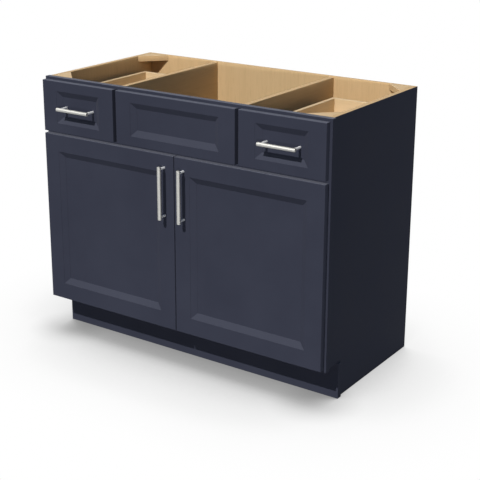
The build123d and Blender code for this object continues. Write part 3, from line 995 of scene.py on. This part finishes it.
class VANITY_OT_drawer_slides(bpy.types.Operator):
    """Finishes the slides, their rear sockets and the latches under the drawers."""

    bl_idname = "vanity.drawer_slides"
    bl_label = "Drawer Slides"

    def execute(self, context):
        sizes = settings().sizes
        for side in SIDES:
            for part in ("cabinet_rails", "middle_rails", "drawer_rails"):
                finish_node(f"{side}_{part}", steel(Y))
            eased_piece(f"{side}_drawer_latches", sizes.board_ease, plastic(), "grey_plastic")
        eased_piece("slide_rear_sockets", sizes.metal_ease, plastic(), "grey_plastic")
        return {"FINISHED"}


# Hinges and small fittings


class VANITY_OT_hinges(bpy.types.Operator):
    """Models the concealed hinges: cups, arms and pins."""

    bl_idname = "vanity.hinges"
    bl_label = "Hinges"

    def execute(self, context):
        for side in SIDES:
            for part in ("hinge_cups", "hinge_arms"):
                width = settings().sizes.metal_ease
                eased_piece(f"{side}_{part}", width, steel(Z), "plated_steel")
            finish_node(f"{side}_hinge_pins", steel(Z))
        return {"FINISHED"}


class VANITY_OT_fasteners(bpy.types.Operator):
    """Models the screws, the clips of the fixed front and the bumpers."""

    bl_idname = "vanity.fasteners"
    bl_label = "Fasteners"

    # Half sizes of the slots in a screw's head, as shares of the head's width
    slot_depth, slot_length, slot_width = 0.14, 0.3, 0.07

    def execute(self, context):
        sizes = settings().sizes
        nodes = ["hinge_arm_screws", "false_front_clips"]
        nodes += [f"{side}_{part}_screws" for side in SIDES for part in ("door", "drawer")]
        for node in nodes:
            piece = eased_copy(node, sizes.metal_ease)
            if node.endswith("screws"):
                self.cut_crosses(piece, node)
            coat(piece, steel(Z))
            stand_for(piece, "plated_steel", node)
        eased_piece("bumpers", sizes.pad_ease, clear_pad(), "clear_pad")
        return {"FINISHED"}

    def cut_crosses(self, piece, node):
        """Cuts a cross into each screw's head, which faces the back or the middle of the cabinet."""
        for low, high in solids_of(node):
            size = high - low
            axis = max((X, Y, Z), key=lambda index: size[index])
            first, second = [index for index in (X, Y, Z) if index != axis]
            width = min(size[first], size[second])
            head = (low + high) / 2
            head[axis] = high[axis] if axis == Y or high.x < 0 else low[axis]
            for along, across in ((first, second), (second, first)):
                reach = Vector()
                reach[axis] = width * self.slot_depth
                reach[along] = width * self.slot_length
                reach[across] = width * self.slot_width
                combine(piece, block("slot", head - reach, head + reach), "DIFFERENCE")
        smooth(piece)


# Stage


def seen_rays(tree):
    """1 for rays that show a surface: those of the camera, and those that reflect or pass through."""
    path = add_node(tree, "LightPath").outputs
    mirrored = maths(tree, "MAXIMUM", path["Is Glossy Ray"], path["Is Transmission Ray"])
    return maths(tree, "MAXIMUM", path["Is Camera Ray"], mirrored)


class VANITY_OT_stage(bpy.types.Operator):
    """Sets the camera, the light and a white floor with a soft shadow."""

    bl_idname = "vanity.stage"
    bl_label = "Stage"

    # Place of the lamps in the 3D view alone: their light comes from the same way everywhere
    lamp_place = (0, -3, 2)

    floor_size = 40
    floor_drop = 0.0005
    floor_samples = 24

    # Deeper floor shade at the ends of the toe kick and in a band before it: middle, reach and depth,
    # and the distances from the middle of the cabinet between which the band ends
    end_place, end_reach, end_depth = (0.49, -0.22, 0), 0.16, 0.28
    band_place, band_reach, band_depth = -0.245, 0.06, 0.12
    band_ends = (0.46, 0.6)

    # Floor brightness at each amount of open sky above it
    tones = (
        (0.0, 0.18),
        (0.29, 0.35),
        (0.384, 0.42),
        (0.5, 0.62),
        (0.61, 0.76),
        (0.66, 0.835),
        (0.8, 0.915),
        (0.85, 0.97),
        (1.0, 1.0),
    )

    def execute(self, context):
        scene = context.scene
        scene.view_settings.view_transform = "Standard"
        self.camera(scene)
        self.sky(scene)
        self.lamps()
        self.floor()
        return {"FINISHED"}

    def camera(self, scene):
        """Camera at the photograph's viewing angle."""
        stage = settings().stage
        bpy.ops.object.camera_add(location=stage.place, rotation=stage.turn)
        camera = bpy.context.object
        camera.name = "camera"
        camera.data.sensor_width = stage.sensor
        camera.data.lens = stage.lens
        camera.data.shift_x, camera.data.shift_y = stage.shift
        scene.camera = camera

    def sky(self, scene):
        """Soft light from above, behind a white background."""
        world = bpy.data.worlds.new("studio")
        world.use_nodes = True
        scene.world = world
        tree = world.node_tree
        light = tree.nodes["Background"]
        light.inputs["Color"].default_value = rgba(settings().stage.sky_tint)
        light.inputs["Strength"].default_value = settings().stage.sky
        white = add_node(tree, "Background", sockets={"Color": (1, 1, 1, 1), "Strength": 1.0})
        mix = add_node(
            tree,
            "MixShader",
            sockets={0: seen_rays(tree), 1: light.outputs[0], 2: white.outputs[0]},
        )
        tree.links.new(mix.outputs[0], tree.nodes["World Output"].inputs["Surface"])

    def lamps(self):
        """Key lamp from the front and above, and level lamps beside, behind and for the edges."""
        stage = settings().stage
        # Strength, then degrees of tilt from overhead and of turn about Z
        lamps = {
            "key_lamp": (stage.key, 44, 0),
            "fill_lamp": (stage.fill, 89, 34),
            "rear_lamp": (stage.rear, 89, -125),
            "left_edge_lamp": (stage.edge, 90, -90),
            "right_edge_lamp": (stage.edge, 90, 90),
        }
        for name, (energy, tilt, turn) in lamps.items():
            rotation = (math.radians(tilt), 0, math.radians(turn))
            bpy.ops.object.light_add(type="SUN", location=self.lamp_place, rotation=rotation)
            lamp = bpy.context.object
            lamp.name = name
            lamp.data.energy = energy
            lamp.data.color = stage.lamp_tint
            lamp.data.angle = stage.lamp_angle
            if name == "key_lamp":
                lamp.light_linking.blocker_collection = lamp_group(KEY_PASSES)
            if name.endswith("edge_lamp"):
                lamp.light_linking.receiver_collection = lamp_group(EDGE_LIT)
                lamp.data.use_shadow = False

    def shade(self, tree):
        """Deeper shade on the floor before the toe kick, widest at its two ends."""
        place = add_node(tree, "TexCoord").outputs["Object"]
        across, along, _ = add_node(tree, "SeparateXYZ", sockets={0: place}).outputs
        aside = maths(tree, "ABSOLUTE", across)
        spot = add_node(tree, "CombineXYZ", sockets={0: aside, 1: along}).outputs[0]
        away = add_node(
            tree, "VectorMath", operation="DISTANCE", sockets={0: spot, 1: self.end_place}
        ).outputs["Value"]
        ends = fade(tree, away, 0.0, self.end_reach, self.end_depth)
        off = maths(tree, "ABSOLUTE", maths(tree, "SUBTRACT", along, self.band_place))
        across_band = fade(tree, off, 0.0, self.band_reach, self.band_depth)
        band = maths(tree, "MULTIPLY", across_band, fade(tree, aside, *self.band_ends, 1.0))
        ends_left = maths(tree, "SUBTRACT", 1.0, ends)
        band_left = maths(tree, "SUBTRACT", 1.0, band)
        return maths(tree, "MULTIPLY", ends_left, band_left)

    def floor(self):
        """White floor that keeps a soft shadow."""
        stage = settings().stage
        bpy.ops.object.select_all(action="DESELECT")
        bpy.ops.mesh.primitive_plane_add(size=self.floor_size, location=(0, 0, -self.floor_drop))
        piece = new_primitive("floor")
        material = bpy.data.materials.new("white floor")
        material.use_nodes = True
        tree = material.node_tree
        tree.nodes.remove(tree.nodes["Principled BSDF"])
        cover = add_node(
            tree, "AmbientOcclusion", samples=self.floor_samples, sockets={"Distance": stage.reach}
        )
        ramp = add_node(tree, "ValToRGB", sockets={0: cover.outputs["AO"]})
        while len(ramp.color_ramp.elements) < len(self.tones):
            ramp.color_ramp.elements.new(1.0)
        for element, (place, tone) in zip(ramp.color_ramp.elements, self.tones):
            element.position = place
            element.color = (tone, tone, tone, 1)
        path = add_node(tree, "LightPath").outputs
        mirrored = maths(tree, "MULTIPLY", path["Is Glossy Ray"], stage.mirror)
        direct = maths(tree, "MAXIMUM", path["Is Camera Ray"], path["Is Transmission Ray"])
        level = maths(tree, "MULTIPLY", maths(tree, "MAXIMUM", direct, mirrored), self.shade(tree))
        shown = add_node(tree, "Emission", sockets={"Color": ramp.outputs[0], "Strength": level})
        dim = add_node(tree, "BsdfDiffuse", sockets={"Color": rgba(stage.bounce)})
        mix = add_node(
            tree,
            "MixShader",
            sockets={0: seen_rays(tree), 1: dim.outputs[0], 2: shown.outputs[0]},
        )
        tree.links.new(mix.outputs[0], tree.nodes["Material Output"].inputs["Surface"])
        piece.data.materials.append(material)


PIECES = (
    VANITY_OT_case_boards,
    VANITY_OT_toe_kick,
    VANITY_OT_face_frame,
    VANITY_OT_doors,
    VANITY_OT_drawer_fronts,
    VANITY_OT_pulls,
    VANITY_OT_drawer_boxes,
    VANITY_OT_drawer_slides,
    VANITY_OT_hinges,
    VANITY_OT_fasteners,
    VANITY_OT_stage,
)


class VANITY_PT_sidebar(bpy.types.Panel):
    """Lists the cabinet's pieces and settings."""

    bl_idname = "VANITY_PT_sidebar"
    bl_label = "Vanity Cabinet"
    bl_space_type = "VIEW_3D"
    bl_region_type = "UI"
    bl_category = "Vanity"

    def draw(self, context):
        for piece in PIECES:
            self.layout.operator(piece.bl_idname)
        for name in VanitySettings.__annotations__:
            group = getattr(settings(), name)
            box = self.layout.box()
            box.label(text=name.capitalize())
            for item in group.__annotations__:
                box.prop(group, item)


CLASSES = (
    VanitySizes,
    VanityPaint,
    VanityWood,
    VanityMetal,
    VanityStage,
    VanitySettings,
    *PIECES,
    VANITY_PT_sidebar,
)


def register():
    for item in CLASSES:
        bpy.utils.register_class(item)
    bpy.types.Scene.vanity = PointerProperty(type=VanitySettings)


def unregister():
    del bpy.types.Scene.vanity
    for item in reversed(CLASSES):
        bpy.utils.unregister_class(item)


def main():
    register()
    bpy.ops.vanity.stage()
    bpy.ops.vanity.case_boards()
    bpy.ops.vanity.toe_kick()
    bpy.ops.vanity.face_frame()
    bpy.ops.vanity.doors()
    bpy.ops.vanity.drawer_fronts()
    bpy.ops.vanity.pulls()
    bpy.ops.vanity.drawer_boxes()
    bpy.ops.vanity.drawer_slides()
    bpy.ops.vanity.hinges()
    bpy.ops.vanity.fasteners()


if __name__ == "__main__":
    main()
